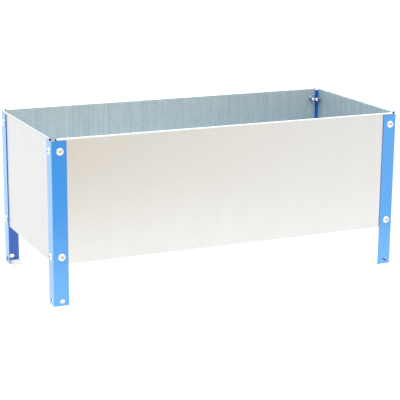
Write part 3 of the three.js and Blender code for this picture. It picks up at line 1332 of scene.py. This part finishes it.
@dataclass
class PostSet:
    """The four corner posts: pressed steel angle, with two bolt holes and a low slot in each flange."""

    finish: Material
    thickness: float = 2 * MM
    bend_radius: float = 3.6 * MM
    bend_steps: int = 12
    hole_radius: float = 4.5 * MM
    slot_length: float = 12 * MM
    slot_radius: float = 4.75 * MM
    slot_level: float = 23.5 * MM
    edge_round: float = 0.45 * MM

    def angle(self, low: Vector, high: Vector) -> Obj:
        """The bare angle at the front left corner.

        Args:
            low: lowest corner of the post's box, which is its outer corner.
            high: highest corner of its box.

        Returns:
            The angle.
        """
        start = low.x + self.bend_radius
        wall = low.x + self.thickness / 2
        middle = ((high.x + start) / 2, low.y + self.thickness / 2, (low.z + high.z) / 2)
        obj = sheet_plane(high.x - start, high.z - low.z, middle, upright=True)
        with editing(obj):
            mark_lines(obj, "X", start + FIRST_RUN)
            pick_line(obj, ALONG, start)
            fold((start, low.y + self.bend_radius, low.z), UP, -QUARTER, self.bend_steps)
            pick_line(obj, ALONG, wall, lambda a, b: near(a.y, b.y))
            run_out((0, 1, 0), high.y - low.y - self.bend_radius)
            tidy_shell()
        thicken(obj, self.thickness)
        return obj

    def slot_rod(self, place: Matrix) -> Obj:
        """A tool for the slotted hole: a round rod pulled out sideways.

        Args:
            place: middle of the slot, with local Y through the wall.

        Returns:
            The tool.
        """
        rod = drill_rod(Matrix.Identity(4), self.slot_radius, sides=48)
        half = self.slot_length / 2 - self.slot_radius
        with editing(rod):
            for way in (-1, 1):
                pick(rod, "VERT", lambda point: point.co.x * way > PLAY / 2)
                bpy.ops.transform.translate(value=(way * half, 0, 0))
        rod.data.transform(place)
        return rod

    def build(self) -> None:
        """Makes one post and copies it to the other corners."""
        home = Corner.FRONT_LEFT.label
        low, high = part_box(f"post_{home}")
        obj = self.angle(low, high)
        for name, side in bolt_nodes(corner=home, level="upper") + bolt_nodes(corner=home, level="lower"):
            place = fastener_place(name, side, DRILL_START)
            combine(obj, drill_rod(place, self.hole_radius))
            if name.endswith("lower"):
                drop = Matrix.Translation((0, 0, self.slot_level - place.translation.z))
                combine(obj, self.slot_rod(drop @ place))
        break_edges(obj, self.edge_round, segments=2)
        set_at_corners(obj, "post", low, self.finish)


@dataclass
class FootSet:
    """The four moulded feet: L-shaped, with a groove that the post stands in and a tread underneath."""

    finish: Material
    leg_width: float = 15 * MM
    corner_radius: float = 2.5 * MM
    groove_floor: float = 6 * MM
    groove_play: float = 0.3 * MM
    groove_relief: float = 1.6 * MM
    tread_ring: float = 4.5 * MM
    tread_depth: float = 1.5 * MM
    tread_radius: float = 1.2 * MM
    post_width: float = 36 * MM
    post_thickness: float = 2 * MM
    edge_break: float = 0.5 * MM
    over_cut: float = 1 * MM

    def ell(self, low: Vector, high: Vector, width: float, radius: float) -> Obj:
        """An upright L-shaped block with its outer corner at the lowest X and Y.

        Args:
            low: lowest corner.
            high: highest corner.
            width: width of each leg.
            radius: rounding of the upright edges, except the one inside the L.

        Returns:
            The block.
        """
        obj = box_block(low, high)
        inner = low + Vector((width, width, 0))
        beyond = high + Vector((1, 1, 1)) * self.over_cut
        combine(obj, box_block((inner.x, inner.y, low.z - self.over_cut), beyond))
        with editing(obj):
            pick_edges(obj, lambda a, b: (a - b).xy.length < PLAY and (a - inner).xy.length > PLAY)
            bpy.ops.mesh.bevel(offset=radius, segments=6, affect="EDGES")
        return obj

    def groove(self, obj: Obj, corner: Vector, top: float) -> None:
        """Cuts the groove for the post, with room for the round inside its bend.

        Args:
            obj: the foot.
            corner: the post's outer corner.
            top: above the foot's top.
        """
        wide = self.post_thickness + self.groove_play
        far = self.post_width + self.groove_play
        start, middle, relief = -self.groove_play, wide - self.over_cut, wide + self.groove_relief
        for low, high in (
            ((start, start), (far, wide)),
            ((start, start), (wide, far)),
            ((middle, middle), (relief, relief)),
        ):
            floor = (corner.x + low[0], corner.y + low[1], self.groove_floor)
            combine(obj, box_block(floor, (corner.x + high[0], corner.y + high[1], top)))

    def build(self) -> None:
        """Makes one foot and copies it under the other posts."""
        home = Corner.FRONT_LEFT.label
        low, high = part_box(f"foot_{home}")
        corner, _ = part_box(f"post_{home}")
        obj = self.ell(low, high, self.leg_width, self.corner_radius)
        ring = Vector((self.tread_ring, self.tread_ring, 0))
        floor = low + ring - UP * self.over_cut
        roof = Vector((*(high - ring).xy, self.tread_depth))
        combine(obj, self.ell(floor, roof, self.leg_width - 2 * self.tread_ring, self.tread_radius))
        self.groove(obj, corner, high.z + 2 * self.over_cut)
        break_edges(obj, self.edge_break, segments=2, angle=50.0)
        set_at_corners(obj, "foot", corner, self.finish)


# Fasteners


@dataclass
class FastenerSet:
    """The bolts, with domed flanged heads and hexagon sockets, and the flange nuts inside."""

    bolt_finish: Material
    nut_finish: Material
    shank_radius: float = 3.85 * MM
    shank_length: float = 16 * MM
    plain_length: float = 2.2 * MM
    thread_depth: float = 0.62 * MM
    pitch: float = 1.25 * MM
    head_radius: float = 8.9 * MM
    head_rise: float = 4.4 * MM
    rim_rise: float = 0.9 * MM
    dome_share: float = 0.9
    dome_steps: int = 9
    socket_flats: float = 5 * MM
    socket_depth: float = 2.6 * MM
    nut_flats: float = 13 * MM
    nut_height: float = 8 * MM
    nut_flange: float = 8.9 * MM
    sides: int = 48

    def thread_rings(self) -> Rings:
        """Profile of the threaded shank, from its end up to the head.

        Returns:
            (radius, height) pairs, with the head's seat at height 0 and the shank below it.
        """
        root, crest = self.shank_radius - self.thread_depth, self.shank_radius
        rings = [(root - 0.25 * MM, -self.shank_length), (root, -self.shank_length + 0.3 * MM)]
        level = -self.shank_length + 0.5 * MM
        while level < -self.plain_length:
            for radius, share in ((crest, 0.42), (crest, 0.54), (root, 0.96)):
                rings.append((radius, level + share * self.pitch))
            level += self.pitch
        return [*rings, (crest, level + 0.4 * MM), (crest, 0.0)]

    def head_rings(self) -> Rings:
        """Profile of the head: a thin round flange, and a dome on it.

        Returns:
            (radius, height) pairs from the seat to the crown.
        """
        rim = self.head_radius
        rings = [(rim - 0.3 * MM, 0.0), (rim, 0.25 * MM), (rim, 0.6 * MM), (rim - 0.25 * MM, self.rim_rise)]
        foot = self.rim_rise + 0.05 * MM
        for i in range(self.dome_steps):
            turn = i / self.dome_steps * QUARTER
            height = foot + (self.head_rise - foot) * math.sin(turn)
            rings.append((self.dome_share * rim * math.cos(turn), height))
        return [*rings, (0.6 * MM, self.head_rise)]

    def bolt(self) -> Obj:
        """The bolt along Z, head up, seat at height 0.

        Returns:
            The pattern bolt.
        """
        obj = turned(self.thread_rings() + self.head_rings(), self.sides)
        floor = self.head_rise - self.socket_depth
        combine(obj, hexagon(self.socket_flats, floor, self.head_rise + 2 * MM))
        break_edges(obj, 0.18 * MM, angle=55.0)
        across = self.socket_flats / math.sqrt(3)
        mark_hollow(obj, lambda co: co.xy.length < across and co.z > self.rim_rise)
        return obj

    def nut(self) -> Obj:
        """The flange nut along Z, seat at height 0, rising upwards.

        Returns:
            The pattern nut.
        """
        obj = hexagon(self.nut_flats, 0.5 * MM, self.nut_height)
        corner = self.nut_flats / math.sqrt(3) + 1 * MM
        crown = (self.nut_flats / 2 - 1.4 * MM, self.nut_height + 1 * MM)
        chamfer = [(corner, 0.0), (corner, self.nut_height - 2.1 * MM), crown]
        combine(obj, turned(chamfer, self.sides + 2), "INTERSECT")
        rim = self.nut_flange
        flange = [(rim - 0.3 * MM, 0.0), (rim, 0.25 * MM), (rim, 0.8 * MM), (rim - 0.25 * MM, 1.05 * MM)]
        collar = [(6.6 * MM, 2.5 * MM), (6.2 * MM, 2.6 * MM)]
        combine(obj, turned(flange + collar, self.sides), "UNION")
        wall = self.shank_radius + 0.25 * MM
        bore = [(wall, 0.4 * MM), (wall, self.nut_height - 0.6 * MM)]
        mouths = [(5.0 * MM, -1.0 * MM), (5.2 * MM, self.nut_height + 0.4 * MM)]
        combine(obj, turned([mouths[0], *bore, mouths[1]], self.sides - 4))
        with editing(obj):
            bpy.ops.mesh.select_all(action="SELECT")
            bpy.ops.mesh.remove_doubles(threshold=PLAY)
        break_edges(obj, 0.16 * MM, angle=50.0)
        mark_hollow(obj, lambda co: co.xy.length < self.shank_radius + 0.3 * MM)
        return obj

    def build(self) -> None:
        """Makes one bolt and one nut, and copies them to all their places."""
        head_out = Matrix.Rotation(QUARTER, 4, "X")
        bolt, nut = self.bolt(), self.nut()
        for number, (name, side) in enumerate(bolt_nodes()):
            spin = Matrix.Rotation(math.radians(23 + 37 * number), 4, "Z")
            place = fastener_place(name, side, self.shank_length) @ head_out @ spin
            hand_over(copy_of(bolt, place), name, self.bolt_finish)
            name = name.replace("bolt_", "nut_", 1)
            spin = Matrix.Rotation(math.radians(11 + 23 * number), 4, "Z")
            place = fastener_place(name, side, self.nut_height) @ head_out.inverted() @ spin
            hand_over(copy_of(nut, place), name, self.nut_finish)
        for pattern in (bolt, nut):
            bpy.data.objects.remove(pattern, do_unlink=True)


# Studio


@dataclass(frozen=True)
class Viewpoint:
    """Where the camera stands and how it is turned."""

    place: Triple = (-1.32868, -2.93798, 0.99532)
    heading: float = math.radians(24.413)
    drop: float = math.radians(14.268)
    roll: float = math.radians(0.481)
    lens: float = 118.194
    sensor: float = 36.0

    def build(self) -> None:
        """Makes the camera and gives it to the scene."""
        level = Vector((math.sin(self.heading), math.cos(self.heading), 0))
        ahead = level * math.cos(self.drop) - UP * math.sin(self.drop)
        right = Vector((math.cos(self.heading), -math.sin(self.heading), 0))
        above = right.cross(ahead)
        side = right * math.cos(self.roll) + above * math.sin(self.roll)
        top = above * math.cos(self.roll) - right * math.sin(self.roll)
        data = bpy.data.cameras.new("viewpoint")
        data.lens, data.sensor_width = self.lens, self.sensor
        data.clip_start, data.clip_end = 0.1, 100.0
        camera = bpy.data.objects.new("viewpoint", data)
        turn = Matrix((side, top, -ahead)).transposed().to_4x4()
        camera.matrix_world = Matrix.Translation(self.place) @ turn
        bpy.context.collection.objects.link(camera)
        bpy.context.scene.camera = camera


@dataclass(frozen=True)
class Lamp:
    """One soft area light."""

    name: str
    place: Triple
    target: Triple
    size: float
    power: float
    colour: Colour

    def build(self) -> None:
        """Hangs the light and points it."""
        data = bpy.data.lights.new(self.name, "AREA")
        data.shape, data.size = "DISK", self.size
        data.energy, data.color = self.power, self.colour
        lamp = bpy.data.objects.new(self.name, data)
        lamp.location = self.place
        lamp.rotation_euler = (Vector(self.target) - Vector(self.place)).to_track_quat("-Z", "Y").to_euler()
        bpy.context.collection.objects.link(lamp)


@dataclass(frozen=True)
class Studio:
    """A pale floor, a bright even room and one soft light overhead."""

    floor_size: float = 60.0
    floor_colour: Colour = (0.12, 0.12, 0.12)
    floor_glow: Colour = (0.98, 0.97, 1.0)
    pool_glow: Colour = (1.2, 1.195, 1.235)
    pool_middle: tuple[float, float] = (0.0, -0.55)
    pool_reach: float = 0.85
    pool_squeeze: float = 0.4
    warm_glow: Colour = (0.5, 0.3, 0.04)
    warm_middle: tuple[float, float] = (-0.65, -2.3)
    warm_reach: float = 2.3
    backdrop: Colour = (1.0, 1.0, 1.0)
    room_top: Colour = (2.15, 2.35, 2.45)
    room_low: Colour = (0.83, 0.86, 0.965)
    room_front: Colour = (0.66, 0.48, 0.21)
    lamp: Lamp = Lamp("overhead", (-0.3, -0.6, 2.4), (0, 0, 0.2), 1.8, 8.0, (0.85, 0.97, 1.0))

    @staticmethod
    def soft_patch(net: Net, middle: tuple[float, float], reach: float, squeeze: float) -> Socket:
        """A soft patch on the floor, round or drawn out along X.

        Args:
            net: the floor material's nodes.
            middle: its middle, with X already squeezed.
            reach: its radius across.
            squeeze: factor on X; less than 1 draws it out.

        Returns:
            1 in the middle, falling to 0 at its edge.
        """
        place = net.vector("MULTIPLY", net.place(), (squeeze, 1.0, 0.0))
        return net.span(net.vector("DISTANCE", place, (*middle, 0.0)), 0.0, reach, 1.0, 0.0)

    def floor(self) -> None:
        """Lays the floor under the feet."""
        obj = sheet_plane(self.floor_size, self.floor_size, (0, 0, -0.05 * MM), upright=False)
        obj.name = "floor"
        net = Surface("pale_floor")
        dim = tuple(c * 0.985 for c in self.floor_colour)
        warm = self.soft_patch(net, self.warm_middle, self.warm_reach, 1.0)
        pool = self.soft_patch(net, self.pool_middle, self.pool_reach, self.pool_squeeze)
        glow = net.blend(pool, net.blend(warm, self.floor_glow, self.warm_glow), self.pool_glow)
        seen = net.node("LightPath").outputs["Is Camera Ray"]
        net.dress(
            Base_Color=net.blend(net.noise(net.place(), 1.5, 3.0), dim, self.floor_colour),
            Emission_Color=net.blend(seen, glow, self.floor_glow),
            Emission_Strength=1.0,
            Roughness=0.9,
            Specular_IOR_Level=0.1,
        )
        below = net.node("NewGeometry").outputs["Backfacing"]
        clear = net.node("BsdfTransparent").outputs[0]
        either = net.node("MixShader", {0: below, 1: net.shader.outputs[0], 2: clear})
        net.feed(net.output.inputs["Surface"], either.outputs[0])
        obj.data.materials.append(net.material)

    def room(self) -> None:
        """Lights the room: brightest overhead, warm and dim low down in front."""
        world = bpy.data.worlds.new("room")
        world.use_nodes = True
        world.node_tree.nodes.clear()
        net = Net(world.node_tree)
        aim = net.node("TexCoord").outputs["Generated"]
        leftward = net.span(net.part(aim, "X"), 0.2, 0.8, 1.0, 0.3)
        ahead = net.maths("MULTIPLY", net.span(net.part(aim, "Y"), 0.0, -0.6), leftward)
        low = net.blend(ahead, self.room_low, self.room_front)
        colour = net.blend(net.span(net.part(aim, "Z"), 0.18, 0.6), low, self.room_top)
        seen = net.node("LightPath").outputs["Is Camera Ray"]
        light = net.node("Background", {"Color": net.blend(seen, colour, self.backdrop), "Strength": 1.0})
        net.node("OutputWorld", {"Surface": light.outputs[0]})
        bpy.context.scene.world = world

    def build(self) -> None:
        """Sets up the whole studio."""
        self.floor()
        self.room()
        self.lamp.build()
        bpy.context.scene.view_settings.view_transform = "Standard"
        bpy.context.scene.view_settings.look = "None"


def main() -> None:
    """Builds the planter piece by piece, then the studio round it."""
    logging.basicConfig(level=logging.INFO, format="%(message)s")
    panel_sheet = GalvanisedFinish("galvanised_panel", grain=(420.0, 420.0, 7.0)).make()
    tray_sheet = GalvanisedFinish("galvanised_tray", grain=(7.0, 420.0, 420.0)).make()
    PanelPair((Side.FRONT, Side.BACK), panel_sheet, lip_cut=11.1 * MM).build()
    PanelPair((Side.RIGHT, Side.LEFT), panel_sheet, lip_cut=0.0).build()
    FloorTray(tray_sheet).build()
    PostSet(PaintFinish("blue_powder_coat").make()).build()
    FootSet(PlasticFinish("pale_foot_plastic").make()).build()
    bolt_plate = ZincPlateFinish("bright_zinc_bolt").make()
    # Painted shade: the nuts inside the box take a dark blue that stands in for the shade they sit in.
    nut_shade_colours = {"light": (0.17, 0.23, 0.34), "dull": (0.1, 0.14, 0.2)}
    shaded_nut_finish = ZincPlateFinish("nut_dark_painted_shade", gloss=0.18, **nut_shade_colours).make()
    FastenerSet(bolt_plate, shaded_nut_finish).build()
    Viewpoint().build()
    Studio().build()


if __name__ == "__main__":
    main()
